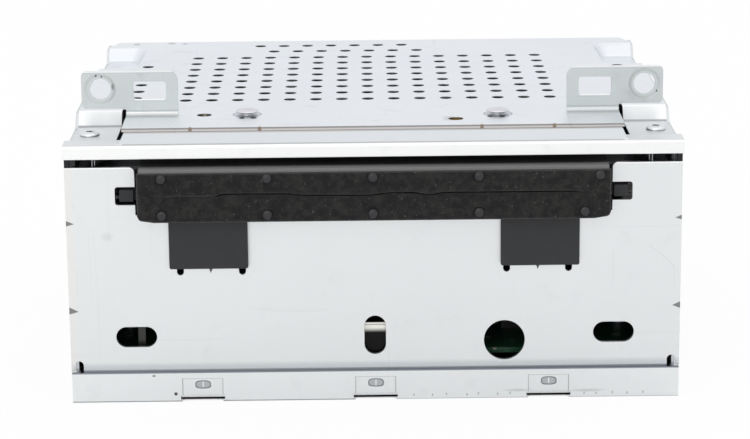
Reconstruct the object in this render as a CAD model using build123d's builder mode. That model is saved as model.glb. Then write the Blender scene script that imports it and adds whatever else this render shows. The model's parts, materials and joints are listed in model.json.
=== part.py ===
import os
from math import cos, pi, sin

from build123d import *

os.makedirs("parts", exist_ok=True)

# Origin: middle of the width, front face of the front plate, underside of the tray.
# X to the right, Y to the rear, Z up.

top_z = 83.5            # upper face of the perforated cover
low_z = 79.2            # upper face of the front strip and the corner tabs
sheet = 1.2             # cover, frame and front plate
thin = 1.0              # walls and tray
wall_x = 89.8           # outer face of the side walls
front_x = 91.0          # half width of the front plate
body_y = 141.2          # rear face of the rear panel
plate_top = 71.9
lip_z = 9.2
tray_x = 90.8

slit_x = 74.7           # black slits beside the corner tabs
slit_w = 1.8
strip_y = -3.0          # front face of the front flange
flange_z = 75.0
cover_y = 0.9           # front cut edge of the cover
tab_y = 23.6            # end of the flat corner tab
step_y = 27.2           # top of the corner step

vent_pitch_x = 8.0
vent_pitch_y = 9.98
vent_r = 1.88
vent_x = -1.3
vent_y = 40.65

ear_y = 19.0
ear_t = 1.2
ear_in = 58.2
ear_out = 87.0
ear_top = 97.0
ear_h = ear_top - top_z
wing_z = top_z + 0.163 * ear_h
ear_hole_x = ear_out - 5.6
ear_hole_z = ear_top - 0.4 * ear_h
ear_hole_r = 0.237 * ear_h

cut_x = 70.4            # opening of the front plate for the bezel
cut_z = 57.4
window_x = 76.3
window_low = 60.5
window_high = 66.0
slot_x = 71.2
slot_z = 19.95
slot_len = 12.2
slot_h = 6.3
round_x = 38.6
round_z = 17.8
round_r = 6.12

bezel_x = 68.8
bezel_top = 72.3
bezel_front = -5.8
mouth_x = 61.5
mouth_low = 62.2
mouth_high = 67.2
leg_in = 37.4
leg_out = 60.7
leg_low = 41.2
hook_x = (leg_in + 1.8, leg_out - 3.1)
hook_z = leg_low + 1.3

felt_x = 69.4
felt_low = 56.7
felt_high = 72.5
felt_t = 1.8
slit_z = 64.7
pin_x = (-62.1, -31.2, -0.3, 30.7)
pin_high = 69.95
pin_low = 59.1

board_z = 12.0
board_t = 1.6
deck_z = 50.0
spindle_y = 78.0
disc_z = 64.1
feed_y = 14.0
feed_z = 59.5
rod_z = 55.5


def block(x0, x1, y0, y1, z0, z1, mode=Mode.ADD):
    with Locations(((x0 + x1) / 2, (y0 + y1) / 2, (z0 + z1) / 2)):
        Box(x1 - x0, y1 - y0, z1 - z0, mode=mode)


def rod_along_x(x0, x1, y, z, r, mode=Mode.ADD):
    with Locations(((x0 + x1) / 2, y, z)):
        Cylinder(r, x1 - x0, rotation=(0, 90, 0), mode=mode)


def rod_along_y(y0, y1, x, z, r, mode=Mode.ADD):
    with Locations((x, (y0 + y1) / 2, z)):
        Cylinder(r, y1 - y0, rotation=(90, 0, 0), mode=mode)


def rod_up(z0, z1, x, y, r, mode=Mode.ADD):
    with Locations((x, y, (z0 + z1) / 2)):
        Cylinder(r, z1 - z0, mode=mode)


def side_profile(points, x0, x1, mode=Mode.ADD):
    with BuildSketch(Plane.YZ.offset(x0)) as face:
        Polygon(*points, align=None)
    extrude(face.sketch, amount=x1 - x0, mode=mode)


def front_profile(points, y0, y1, mode=Mode.ADD):
    with BuildSketch(Plane.XZ.offset(-y1)) as face:
        Polygon(*points, align=None)
    extrude(face.sketch, amount=y1 - y0, mode=mode)


def flat_profile(points, z0, z1, mode=Mode.ADD):
    with BuildSketch(Plane.XY.offset(z0)) as face:
        Polygon(*points, align=None)
    extrude(face.sketch, amount=z1 - z0, mode=mode)


def keep(piece, name):
    piece.label = name
    export_step(piece, f"parts/{name}.step")


def both(a, b, side):
    return (a, b) if side > 0 else (-b, -a)


# Perforated cover: flat top, front tongue between the ears, stepped corner tabs, side skirts.
tongue = ear_in - 0.1
tab_in = slit_x + slit_w / 2
mid_out = slit_x - slit_w / 2
mid_end = mid_out + 0.8
under = top_z - sheet
dip_x = wall_x - thin
dip_in = 75.3
dip_y = 112.4
dip_half = 18.9
dip_low = 79.2
dip_slope = 3.2
screw_y = (45, 84)

vents = []
for row in range(8):
    for col in range(-7, 8):
        vents.append((vent_x + vent_pitch_x * col, vent_y + vent_pitch_y * row))
for col in range(7):
    vents.append((-32.4 + 8.0 * col, 121.8))
    vents.append((-37.3 + 8.0 * col, 131.9))
vents += [(-73.0, 96.2), (-80.4, 88.5), (-72.9, 65.7), (-72.9, 55.1), (-72.9, 44.9), (80.4, 90.5)]


# Pressed dip at a side edge, open to the side: its upper skin, or its lower one grown and dropped.
def dip_pocket(side, grow, drop):
    with BuildPart() as pocket:
        for z, inset, r in ((top_z, -grow, 4.5), (dip_low, dip_slope - grow, 2.5)):
            w = dip_x + 15 - dip_in - inset
            with BuildSketch(Plane.XY.offset(z - drop)):
                with Locations((side * (dip_x + 15 - w / 2), dip_y)):
                    RectangleRounded(w, 2 * (dip_half - inset), r)
        loft(ruled=True)
    return pocket.part


with BuildPart() as top_cover:
    flat_profile(
        [(-dip_x, step_y + 2), (-mid_out, step_y + 2), (-mid_out, ear_y + ear_t + 0.1),
         (-tongue, ear_y + ear_t + 0.1), (-tongue, cover_y), (tongue, cover_y),
         (tongue, ear_y + ear_t + 0.1), (mid_out, ear_y + ear_t + 0.1), (mid_out, step_y + 2),
         (dip_x, step_y + 2), (dip_x, 133), (86, body_y), (-86, body_y), (-dip_x, 133)],
        under, top_z,
    )
    for side in (-1, 1):
        x0, x1 = both(tab_in, dip_x, side)
        side_profile(
            [(4.6, low_z), (tab_y, low_z), (step_y, top_z), (step_y + 2.5, top_z),
             (step_y + 2.5, under), (step_y + 0.55, under),
             (tab_y + 0.55, low_z - sheet), (4.6, low_z - sheet)],
            x0, x1,
        )
        x0, x1 = both(dip_x - thin, dip_x, side)
        block(x0, x1, 30, 132, 72, top_z - sheet / 2)
        add(dip_pocket(side, 0.7, sheet))
    for side in (-1, 1):
        add(dip_pocket(side, 0, 0), mode=Mode.SUBTRACT)
        x0, x1 = both(dip_x, dip_x + 20, side)
        block(x0, x1, 85, 140, 60, top_z + 5, mode=Mode.SUBTRACT)
        with Locations((side * 84.2, 11.7, low_z)):
            Hole(1.6, depth=2)
        for y in screw_y:
            x0, x1 = both(dip_x - 2, dip_x + 1, side)
            rod_along_x(x0, x1, y, 77, 1.55, mode=Mode.SUBTRACT)
    with BuildSketch(Plane.XY.offset(under)):
        with Locations(*vents):
            Circle(vent_r)
        with Locations((-50.4, 18.6), (24.6, 9.6)):
            Circle(2.25)
        with Locations((-37.6, 18.9), (37.4, 16.0)):
            Circle(1.7)
    extrude(amount=sheet, mode=Mode.SUBTRACT)
keep(top_cover.part, "top_cover")

# Front flange with the corner flats, and the step up to the support under the cover edge.
rise_y = cover_y - 0.2
with BuildPart() as front_frame:
    side_profile(
        [(strip_y + 0.6, low_z), (strip_y + 1.1, low_z), (rise_y, under), (33, under),
         (33, under - sheet), (rise_y + 0.56, under - sheet), (strip_y + sheet, low_z - 1.75),
         (strip_y + 0.6, low_z - 1.75)],
        -mid_end, mid_end,
    )
    for side in (-1, 1):
        front_profile(
            [(side * mid_end, low_z), (side * (mid_end - 2.0), under + 1),
             (side * (mid_end + 1), under + 1), (side * (mid_end + 1), low_z)],
            strip_y, 34, mode=Mode.SUBTRACT,
        )
    block(-front_x, front_x, strip_y, strip_y + sheet, flange_z, low_z)
    for side in (-1, 1):
        x0, x1 = both(mid_end - 1, front_x, side)
        block(x0, x1, strip_y, 4.5, low_z - sheet, low_z)
        x0, x1 = both(wall_x, front_x, side)
        block(x0, x1, strip_y, 4.5, flange_z, low_z)
    front_edge = front_frame.edges().filter_by(Axis.X).group_by(Axis.Y)[0].sort_by(Axis.Z)[-1]
    fillet(front_edge, 1.0)
keep(front_frame.part, "front_frame")

# Face plate with the bezel opening, side windows, slots and folded side flanges.
relief_out = front_x - 1.1
relief_in = relief_out - 2.6
relief_z = lip_z + 2.05
with BuildPart() as front_plate:
    with BuildSketch(Plane.XZ) as face:
        with BuildLine():
            Polyline(
                (-relief_in, thin), (relief_in, thin), (relief_in, relief_z), (relief_out, relief_z),
                (relief_out, lip_z + 0.2), (front_x, lip_z + 0.2), (front_x, plate_top),
                (cut_x, plate_top), (cut_x, window_high), (window_x, window_high),
                (window_x, window_low), (cut_x, window_low), (cut_x, cut_z), (-cut_x, cut_z),
                (-cut_x, window_low), (-window_x, window_low), (-window_x, window_high),
                (-cut_x, window_high), (-cut_x, plate_top), (-front_x, plate_top),
                (-front_x, lip_z + 0.2), (-relief_out, lip_z + 0.2), (-relief_out, relief_z),
                (-relief_in, relief_z), close=True,
            )
        make_face()
        fillet([v for v in face.vertices() if abs(abs(v.X) - window_x) < 0.01], 0.8)
        fillet([v for v in face.vertices() if abs(abs(v.X) - cut_x) < 0.01
                and abs(v.Y - plate_top) < 0.01], 1.5)
        with Locations((-relief_out + 1.3, relief_z), (relief_out - 1.3, relief_z)):
            Circle(1.3, mode=Mode.SUBTRACT)
        with Locations((-slot_x, slot_z), (slot_x, slot_z)):
            SlotOverall(slot_len, slot_h, mode=Mode.SUBTRACT)
        with Locations((0, 19.8)):
            SlotOverall(11.96, 6.46, rotation=90, mode=Mode.SUBTRACT)
        with Locations((round_x, round_z)):
            Circle(round_r, mode=Mode.SUBTRACT)
        with Locations(*[(s * x, hook_z) for s in (-1, 1) for x in hook_x]):
            SlotOverall(7.2, 2.07, rotation=90, mode=Mode.SUBTRACT)
    extrude(amount=-sheet)
    for side in (-1, 1):
        x0, x1 = both(wall_x, front_x, side)
        block(x0, x1, 0, 9, relief_z + 1.35, plate_top)
keep(front_plate.part, "front_plate")

# Floor with the front lip, side upstands and rear upstand.
with BuildPart() as bottom_tray:
    block(-wall_x, wall_x, -sheet, body_y, 0, thin)
    block(-tray_x, tray_x, -sheet, 0, 0, lip_z)
    for side in (-1, 1):
        x0, x1 = both(wall_x - 2 * thin, wall_x - thin, side)
        block(x0, x1, 2, body_y - 3.2, 0, 9)
    block(-80, 80, body_y - 2.2, body_y - sheet, 0, 9)
    for x in (-51.8, 0, 51.8):
        block(x - 6, x + 6, -sheet - 1, -sheet + 0.4, 1.6, 7.1, mode=Mode.SUBTRACT)
        block(x - 6.5, x - 5.7, -sheet - 1, 1, 1.0, 2.0, mode=Mode.SUBTRACT)
        block(x + 5.7, x + 6.5, -sheet - 1, 1, 1.0, 2.0, mode=Mode.SUBTRACT)
    with BuildSketch(Plane.XZ.offset(sheet)) as coined:
        with Locations((-51.8, 4.9), (0, 4.9), (51.8, 4.9)):
            SlotOverall(4.6, 2.55)
    extrude(coined.sketch, amount=-0.65, mode=Mode.SUBTRACT)
    for y in (40, 75, 110):
        block(-60, 60, y - 2, y + 2, -1, 0.4, mode=Mode.SUBTRACT)
keep(bottom_tray.part, "bottom_tray")


# Side walls stand on the tray between the front plate and the rear edge.
def side_wall(side):
    x0, x1 = both(wall_x - thin, wall_x, side)
    edge = top_z - 0.9
    with BuildPart() as wall:
        side_profile(
            [(sheet, thin), (body_y, thin), (body_y, edge), (dip_y + dip_half + 0.5, edge),
             (dip_y + dip_half - dip_slope + 0.5, dip_low - 0.7),
             (dip_y - dip_half + dip_slope - 0.5, dip_low - 0.7), (dip_y - dip_half - 0.5, edge),
             (step_y + 0.6, edge), (tab_y + 0.4, low_z - 0.6), (4.6, low_z - 0.6),
             (4.6, low_z - sheet), (sheet, low_z - sheet)],
            x0, x1,
        )
        for y in screw_y:
            rod_along_x(x0 - 1, x1 + 1, y, 77, 1.6, mode=Mode.SUBTRACT)
        for y, z in ((38, 26), (38, 54), (104, 26), (104, 54)):
            rod_along_x(x0 - 1, x1 + 1, y, z, 2.1, mode=Mode.SUBTRACT)
        for y in (58, 66, 74, 82):
            block(x0 - 1, x1 + 1, y, y + 3, 57, 70, mode=Mode.SUBTRACT)
    return wall.part


keep(side_wall(-1), "left_wall")
keep(side_wall(1), "right_wall")

# Rear panel between the walls.
with BuildPart() as rear_panel:
    block(-wall_x + thin, wall_x - thin, body_y - sheet, body_y, thin, under)
    block(-64.2, -15.8, body_y - 3, body_y + 3, 14.8, 35.2, mode=Mode.SUBTRACT)
    rod_along_y(body_y - 3, body_y + 3, 62, 22, 6.1, mode=Mode.SUBTRACT)
    for x in range(-60, -11, 8):
        block(x - 1.5, x + 1.5, body_y - 3, body_y + 3, 52, 68, mode=Mode.SUBTRACT)
    for x in (6, 74):
        for z in (40, 72):
            rod_along_y(body_y - 3, body_y + 3, x, z, 1.6, mode=Mode.SUBTRACT)
keep(rear_panel.part, "rear_panel")


# Upright ear whose foot is let into the cover and stands on the frame below.
def ear(side):
    span = ear_out - ear_in
    with BuildPart() as bracket:
        x0, x1 = both(ear_in, mid_out, side)
        block(x0, x1, cover_y, ear_y + ear_t, under, top_z)
        block(x0, x1, ear_y, ear_y + ear_t, under, top_z + 0.44 * ear_h)
        x0, x1 = both(ear_in, ear_out, side)
        block(x0, x1, ear_y, ear_y + ear_t, wing_z, ear_top)
        foot = bracket.edges().filter_by(Axis.X).filter_by(
            lambda e: abs(e.center().Y - ear_y) < 0.01 and abs(e.center().Z - top_z) < 0.01)
        fillet(foot, 1.4)
        for x, z, r in ((ear_in, ear_top, 0.222), (ear_out, ear_top, 0.119), (ear_out, wing_z, 0.096)):
            corner = bracket.edges().filter_by(Axis.Y).filter_by(
                lambda e: abs(e.center().X - side * x) < 0.01 and abs(e.center().Z - z) < 0.01)
            fillet(corner, r * ear_h)
        rod_along_y(ear_y - 1, ear_y + 3, side * ear_hole_x, ear_hole_z, ear_hole_r, Mode.SUBTRACT)
        rod_along_y(ear_y - 1, ear_y + 0.15, side * ear_hole_x, ear_hole_z, 1.44 * ear_hole_r,
                    Mode.SUBTRACT)
        with BuildSketch(Plane.XZ.offset(-ear_y)) as window:
            with Locations((side * (ear_in + 0.2917 * span), ear_top - 0.437 * ear_h)):
                RectangleRounded(0.34 * span, 0.407 * ear_h, 0.06 * ear_h)
        extrude(window.sketch, amount=-ear_t, mode=Mode.SUBTRACT)
    return bracket.part


keep(ear(-1), "ear_left")
keep(ear(1), "ear_right")


# Seats under the corner tabs, folded down against the walls.
def corner_bracket(side):
    with BuildPart() as bracket:
        x0, x1 = both(tab_in + 0.6, wall_x - thin, side)
        block(x0, x1, -1.7, 22.5, 76.8, low_z - sheet)
        x0, x1 = both(wall_x - 2 * thin, wall_x - thin, side)
        block(x0, x1, 2, 22.5, 66, low_z - sheet)
        rod_up(70, 80, side * 84.2, 11.7, 1.3, mode=Mode.SUBTRACT)
    return bracket.part


keep(corner_bracket(-1), "corner_bracket_left")
keep(corner_bracket(1), "corner_bracket_right")

with BuildPart() as corner_screws:
    for side in (-1, 1):
        rod_up(74.5, low_z, side * 84.2, 11.7, 1.25)
        rod_up(low_z, low_z + 1.5, side * 84.2, 11.7, 2.5)
        with Locations((side * 84.2, 11.7, low_z + 1.5)):
            Box(2.4, 0.55, 1.2, mode=Mode.SUBTRACT)
            Box(0.55, 2.4, 1.2, mode=Mode.SUBTRACT)
keep(corner_screws.part, "corner_screws")

with BuildPart() as cover_screws:
    for side in (-1, 1):
        for y in screw_y:
            x0, x1 = both(85.5, wall_x, side)
            rod_along_x(x0, x1, y, 77, 1.45)
            x0, x1 = both(wall_x, wall_x + 1.1, side)
            rod_along_x(x0, x1, y, 77, 2.8)
keep(cover_screws.part, "cover_screws")

with BuildPart() as locating_studs:
    for x, y in ((-37.6, 18.9), (37.4, 16.0)):
        rod_up(under, 84.1, x, y, 1.6)
        rod_up(84.1, 85.2, x, y, 3.45)
keep(locating_studs.part, "locating_studs")

# Plastic disc slot: body through the face plate, two legs with hooks, lugs behind the windows.
with BuildPart() as slot_bezel:
    block(-bezel_x, bezel_x, bezel_front, 8.5, cut_z, bezel_top)
    for side in (-1, 1):
        x0, x1 = both(leg_in, leg_out, side)
        block(x0, x1, -1.5, 0, leg_low, cut_z + 1)
        leg_ends = slot_bezel.edges().filter_by(Axis.Y).filter_by(
            lambda e: abs(e.center().Z - leg_low) < 0.01 and e.center().X * side > 0)
        fillet(leg_ends, 0.6)
        for x in hook_x:
            block(side * x - 0.8, side * x + 0.8, -0.5, 2.4, hook_z - 0.9, hook_z + 2.1)
        x0, x1 = both(bezel_x - 1, window_x - 1.3, side)
        block(x0, x1, 2.6, 4.0, window_low + 1, window_high - 1)
        x0, x1 = both(cut_x + 0.5, window_x - 1.3, side)
        block(x0, x1, 0.3, 3.0, window_low + 1, window_high - 1)
    block(-mouth_x, mouth_x, bezel_front - 1, 10, mouth_low, mouth_high, mode=Mode.SUBTRACT)
    block(-66, 66, 2.6, 10, 68.9, 71.1, mode=Mode.SUBTRACT)
    for x in pin_x + (66.0,):
        rod_along_y(bezel_front - 1, -2.0, x, pin_high, 0.85, mode=Mode.SUBTRACT)
    for x in pin_x + (61.65,):
        rod_along_y(bezel_front - 1, -2.0, x, pin_low, 0.85, mode=Mode.SUBTRACT)
    rear_lip = slot_bezel.edges().filter_by(Axis.X).filter_by(
        lambda e: abs(e.center().Y - 8.5) < 0.01 and abs(e.center().Z - mouth_low) < 0.01)
    chamfer(rear_lip, 1.5)
keep(slot_bezel.part, "slot_bezel")

# Felt with its wavy slit.
wave = [(x, slit_z + 0.35 * sin(x * 0.21) + 0.2 * sin(x * 0.57)) for x in range(-60, 61, 6)]
with BuildPart() as felt_pad:
    front_profile(
        [(-64.5, felt_low), (64.5, felt_low), (felt_x, felt_low + 1.6), (felt_x, felt_high),
         (-felt_x, felt_high), (-felt_x, felt_low + 1.6)],
        bezel_front - felt_t, bezel_front,
    )
    upper = [(x, z + 0.2) for x, z in wave]
    lower = [(x, z - 0.2) for x, z in reversed(wave)]
    front_profile(upper + lower, bezel_front - felt_t, bezel_front, mode=Mode.SUBTRACT)
    for x in pin_x + (66.0,):
        rod_along_y(bezel_front - 3, bezel_front + 1, x, pin_high, 0.85, mode=Mode.SUBTRACT)
    for x in pin_x + (61.65,):
        rod_along_y(bezel_front - 3, bezel_front + 1, x, pin_low, 0.85, mode=Mode.SUBTRACT)
keep(felt_pad.part, "felt_pad")

pin_spots = [(x, pin_high) for x in pin_x + (66.0,)] + [(x, pin_low) for x in pin_x + (61.65,)]
with BuildPart() as felt_pins:
    for x, z in pin_spots:
        rod_along_y(bezel_front - felt_t, -2.4, x, z, 0.8)
        rod_along_y(bezel_front - felt_t - 0.8, bezel_front - felt_t, x, z, 1.5)
keep(felt_pins.part, "felt_pins")

# Finned block on the rear panel.
with BuildPart() as heat_sink:
    block(-6, 86, body_y, body_y + 4, 34, 78)
    for n in range(12):
        x = -6 + 8.2 * n
        block(x, x + 1.8, body_y + 4, body_y + 16, 34, 78)
    for x in (6, 74):
        for z in (40, 72):
            rod_along_y(body_y - 1, body_y + 20, x, z, 1.6, mode=Mode.SUBTRACT)
            rod_along_y(body_y + 4, body_y + 20, x, z, 3.0, mode=Mode.SUBTRACT)
keep(heat_sink.part, "heat_sink")

with BuildPart() as heat_sink_screws:
    for x in (6, 74):
        for z in (40, 72):
            rod_along_y(body_y - 4.2, body_y + 4, x, z, 1.5)
            rod_along_y(body_y + 4, body_y + 6, x, z, 2.8)
keep(heat_sink_screws.part, "heat_sink_screws")

# Rear connections stand on the main board and pass through the panel.
board_top = board_z + board_t
with BuildPart() as connector_header:
    block(-64, -16, body_y - 11.2, body_y + 9.8, 15, 35)
    block(-66, -14, body_y - 13.2, body_y - sheet, board_top, 37)
    block(-61.5, -18.5, body_y - 8.2, body_y + 10.8, 17.5, 32.5, mode=Mode.SUBTRACT)
    block(-42, -38, body_y + 6.8, body_y + 10.8, 32, 36, mode=Mode.SUBTRACT)
keep(connector_header.part, "connector_header")

with BuildPart() as connector_pins:
    for row in range(3):
        for col in range(10):
            x = -58 + 4.0 * col
            z = 20.5 + 4.5 * row
            block(x - 0.5, x + 0.5, body_y - 8.2, body_y + 3.8, z - 0.5, z + 0.5)
keep(connector_pins.part, "connector_pins")

with BuildPart() as antenna_socket:
    block(54, 70, body_y - 15.2, body_y - sheet, board_top, 29)
    rod_along_y(body_y - 2.2, body_y + 10.8, 62, 22, 6.0)
    rod_along_y(body_y + 0.8, body_y + 11.8, 62, 22, 4.3, mode=Mode.SUBTRACT)
keep(antenna_socket.part, "antenna_socket")

# Main board on four posts.
post_spots = ((-76, 34), (76, 34), (-76, 118), (76, 118))
with BuildPart() as main_board:
    block(-80, 80, 6, body_y - 1.7, board_z, board_top)
    block(8, 52, body_y - 8.2, body_y - sheet, board_z - 1, board_top + 1, mode=Mode.SUBTRACT)
    with Locations(*[(x, y, board_top) for x, y in post_spots]):
        Hole(1.6, depth=board_t)
keep(main_board.part, "main_board")

with BuildPart() as board_posts:
    for x, y in post_spots:
        rod_up(thin, board_z, x, y, 3.0)
        rod_up(thin + 4, board_z, x, y, 1.3, mode=Mode.SUBTRACT)
keep(board_posts.part, "board_posts")

with BuildPart() as board_screws:
    for x, y in post_spots:
        rod_up(thin + 5, board_top, x, y, 1.25)
        rod_up(board_top, board_top + 1.8, x, y, 2.8)
keep(board_screws.part, "board_screws")

chip_spots = ((-40, 40, 20, 20, 2), (10, 62, 14, 14, 1.6), (48, 30, 18, 8, 2.4), (-10, 96, 24, 12, 4))
with BuildPart() as board_chips:
    for x, y, w, d, h in chip_spots:
        block(x - w / 2, x + w / 2, y - d / 2, y + d / 2, board_top, board_top + h)
keep(board_chips.part, "board_chips")

with BuildPart() as capacitors:
    for x, y, r, h in ((64, 100, 6, 22), (48, 104, 6, 22), (32, 108, 5, 16), (66, 60, 4, 12)):
        rod_up(board_top, board_top + h, x, y, r)
keep(capacitors.part, "capacitors")

with BuildPart() as amplifier_chip:
    block(12, 48, body_y - 6.2, body_y - sheet, 20, 38)
    for n in range(13):
        x = 14 + 2.6 * n
        block(x, x + 0.8, body_y - 10.7, body_y - 4.2, 21, 21.8)
        block(x, x + 0.8, body_y - 10.7, body_y - 9.9, board_top, 21.8)
keep(amplifier_chip.part, "amplifier_chip")


# Brackets and rubber dampers that carry the drive.
def mech_bracket(side):
    with BuildPart() as bracket:
        x0, x1 = both(60, wall_x - thin, side)
        block(x0, x1, 14, 130, 44.8, 46)
        x0, x1 = both(wall_x - 2 * thin, wall_x - thin, side)
        block(x0, x1, 14, 130, 34, 46)
        for y in (22, 122):
            rod_up(44, 47, side * 68, y, 1.6, mode=Mode.SUBTRACT)
    return bracket.part


keep(mech_bracket(-1), "mech_bracket_left")
keep(mech_bracket(1), "mech_bracket_right")

with BuildPart() as mech_dampers:
    for side in (-1, 1):
        for y in (22, 122):
            rod_up(46, 50, side * 68, y, 5.0)
            rod_up(44.8, 46, side * 68, y, 1.55)
keep(mech_dampers.part, "mech_dampers")

# Drive deck with upright side plates that hold the feed shaft.
with BuildPart() as deck_plate:
    block(-80, 80, 10, 134, deck_z, deck_z + sheet)
    for side in (-1, 1):
        x0, x1 = both(79, 80, side)
        block(x0, x1, 10, 134, deck_z, 69)
        rod_along_x(x0 - 1, x1 + 1, feed_y, feed_z, 1.6, mode=Mode.SUBTRACT)
    block(16, 56, 60, 96, deck_z - 1, deck_z + 2, mode=Mode.SUBTRACT)
    block(-50, -20, 100, 116, deck_z - 1, deck_z + 2, mode=Mode.SUBTRACT)
    block(-60, -20, 30, 56, deck_z - 1, deck_z + 2, mode=Mode.SUBTRACT)
keep(deck_plate.part, "deck_plate")

with BuildPart() as upper_plate:
    block(-80, 80, 10, 134, 69, 70)
    with Locations((0, spindle_y, 70)):
        Hole(18, depth=2)
    block(-60, 60, 22, 44, 68, 71, mode=Mode.SUBTRACT)
    for side in (-1, 1):
        block(side * 45 - 12, side * 45 + 12, 60, 110, 68, 71, mode=Mode.SUBTRACT)
    for x0, x1 in ((-14, -12), (12, 14)):
        block(x0, x1, 124, 132, 70, 76)
        rod_along_x(x0 - 1, x1 + 1, 128, 73, 1.5, mode=Mode.SUBTRACT)
keep(upper_plate.part, "upper_plate")

with BuildPart() as disc_guide:
    block(-76, 73, 10, 20, 66.6, 69)
    for x in (-63.5, 62.0):
        block(x, x + 1.5, 10, 20, 62, 67)
keep(disc_guide.part, "disc_guide")

# Feed roller, its gear and the motor beside the disc path.
with BuildPart() as feed_shaft:
    rod_along_x(-79.8, 79.8, feed_y, feed_z, 1.5)
keep(feed_shaft.part, "feed_shaft")

with BuildPart() as feed_rubbers:
    for side in (-1, 1):
        x0, x1 = both(16, 58, side)
        rod_along_x(x0, x1, feed_y, feed_z, 4.2)
        rod_along_x(x0, x1, feed_y, feed_z, 1.5, mode=Mode.SUBTRACT)
keep(feed_rubbers.part, "feed_rubbers")


def spur_points(teeth, root, tip, turn=0.0):
    points = []
    for n in range(teeth):
        a = 2 * pi * n / teeth + turn
        step = 2 * pi / teeth
        for f, r in ((-0.30, root), (-0.14, tip), (0.14, tip), (0.30, root)):
            points.append((r * cos(a + f * step), r * sin(a + f * step)))
    return points


with BuildPart() as feed_gear:
    with BuildSketch(Plane.YZ.offset(74)) as wheel:
        with Locations((feed_y, feed_z)):
            Polygon(*spur_points(24, 6.9, 8.1), align=None)
            Circle(1.5, mode=Mode.SUBTRACT)
    extrude(wheel.sketch, amount=3)
keep(feed_gear.part, "feed_gear")

with BuildPart() as feed_pinion:
    with BuildSketch(Plane.YZ.offset(74)) as wheel:
        with Locations((feed_y + 10.8, feed_z)):
            Polygon(*spur_points(9, 2.1, 3.2), align=None)
    extrude(wheel.sketch, amount=3)
    rod_along_x(70.05, 74, feed_y + 10.8, feed_z, 0.8)
keep(feed_pinion.part, "feed_pinion")

with BuildPart() as feed_motor:
    rod_along_x(64, 73.4, feed_y + 10.8, feed_z, 7.0)
    rod_along_x(70, 73.5, feed_y + 10.8, feed_z, 0.9, mode=Mode.SUBTRACT)
    block(65, 73, feed_y + 8, feed_y + 13.6, deck_z + sheet, feed_z - 5)
keep(feed_motor.part, "feed_motor")

# Spindle motor and turntable.
with BuildPart() as spindle_motor:
    rod_up(deck_z + sheet, 59.4, 0, spindle_y, 11.0)
    rod_up(55, 60, 0, spindle_y, 1.06, mode=Mode.SUBTRACT)
keep(spindle_motor.part, "spindle_motor")

with BuildPart() as turntable:
    rod_up(55.1, 60.2, 0, spindle_y, 1.0)
    rod_up(60.0, disc_z, 0, spindle_y, 14.0)
    rod_up(disc_z, disc_z + 1.9, 0, spindle_y, 7.4)
    chamfer(turntable.edges().sort_by(Axis.Z)[-1], 0.8)
keep(turntable.part, "turntable")

with BuildPart() as clamp_arm:
    block(-6, 6, 60, 126, 72, 73.5)
    rod_along_x(-11.6, 11.6, 128, 73, 2.8)
    block(-11.6, 11.6, 122, 126.5, 72, 73.5)
    rod_along_x(-12, 12, 128, 73, 1.55, mode=Mode.SUBTRACT)
    rod_up(70, 75, 0, spindle_y, 2.3, mode=Mode.SUBTRACT)
keep(clamp_arm.part, "clamp_arm")

with BuildPart() as clamp_pivot:
    rod_along_x(-15, 15, 128, 73, 1.45)
keep(clamp_pivot.part, "clamp_pivot")

with BuildPart() as clamp_disc:
    rod_up(66.3, 69.8, 0, spindle_y, 13.0)
    rod_up(69.8, 73.6, 0, spindle_y, 2.0)
    rod_up(73.6, 74.6, 0, spindle_y, 4.0)
    rod_up(66.0, 67.4, 0, spindle_y, 8.2, mode=Mode.SUBTRACT)
keep(clamp_disc.part, "clamp_disc")

# Pickup sled on two rods, moved by a lead screw.
rods_y = (65.0, 91.0)
with BuildPart() as rod_holders:
    for x in (12, 71):
        for y in rods_y:
            block(x - 2, x + 2, y - 3, y + 3, deck_z + sheet, 58)
            rod_along_x(x - 3, x + 3, y, rod_z, 1.5, mode=Mode.SUBTRACT)
    block(10, 14, 95.5, 101.5, deck_z + sheet, 58)
    rod_along_x(9, 15, 98.5, rod_z, 1.06, mode=Mode.SUBTRACT)
keep(rod_holders.part, "rod_holders")

with BuildPart() as sled_rods:
    for y in rods_y:
        rod_along_x(10, 73, y, rod_z, 1.5)
keep(sled_rods.part, "sled_rods")

with BuildPart() as sled:
    block(17, 37, 68, 88, 52.4, 58.6)
    block(20, 34, 61.5, 94, 53, 58)
    rod_along_x(16, 38, rods_y[0], rod_z, 1.56, mode=Mode.SUBTRACT)
    rod_along_x(16, 38, rods_y[1], rod_z, 1.56, mode=Mode.SUBTRACT)
    rod_up(58.6, 61.8, 27, spindle_y, 4.0)
    block(24, 30, 93, 101, 58, 59.4)
keep(sled.part, "sled")

with BuildPart() as lead_screw:
    rod_along_x(12, 62.05, 98.5, rod_z, 1.0)
    rod_along_x(15, 61, 98.5, rod_z, 1.9)
keep(lead_screw.part, "lead_screw")

with BuildPart() as sled_motor:
    rod_along_x(61.5, 76, 98.5, rod_z, 4.3)
    rod_along_x(61, 66, 98.5, rod_z, 1.06, mode=Mode.SUBTRACT)
keep(sled_motor.part, "sled_motor")

# Flat cable from the drive down to the main board.
with BuildPart() as ribbon_cable:
    side_profile(
        [(86, board_top), (86.4, board_top), (86.4, 44), (104, 49.6), (104, 50), (103, 50), (86, 44.4)],
        -42, -28,
    )
keep(ribbon_cable.part, "ribbon_cable")
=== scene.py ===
import json
import math

import bmesh
import bpy
from mathutils import Euler, Matrix, Vector, noise


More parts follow.
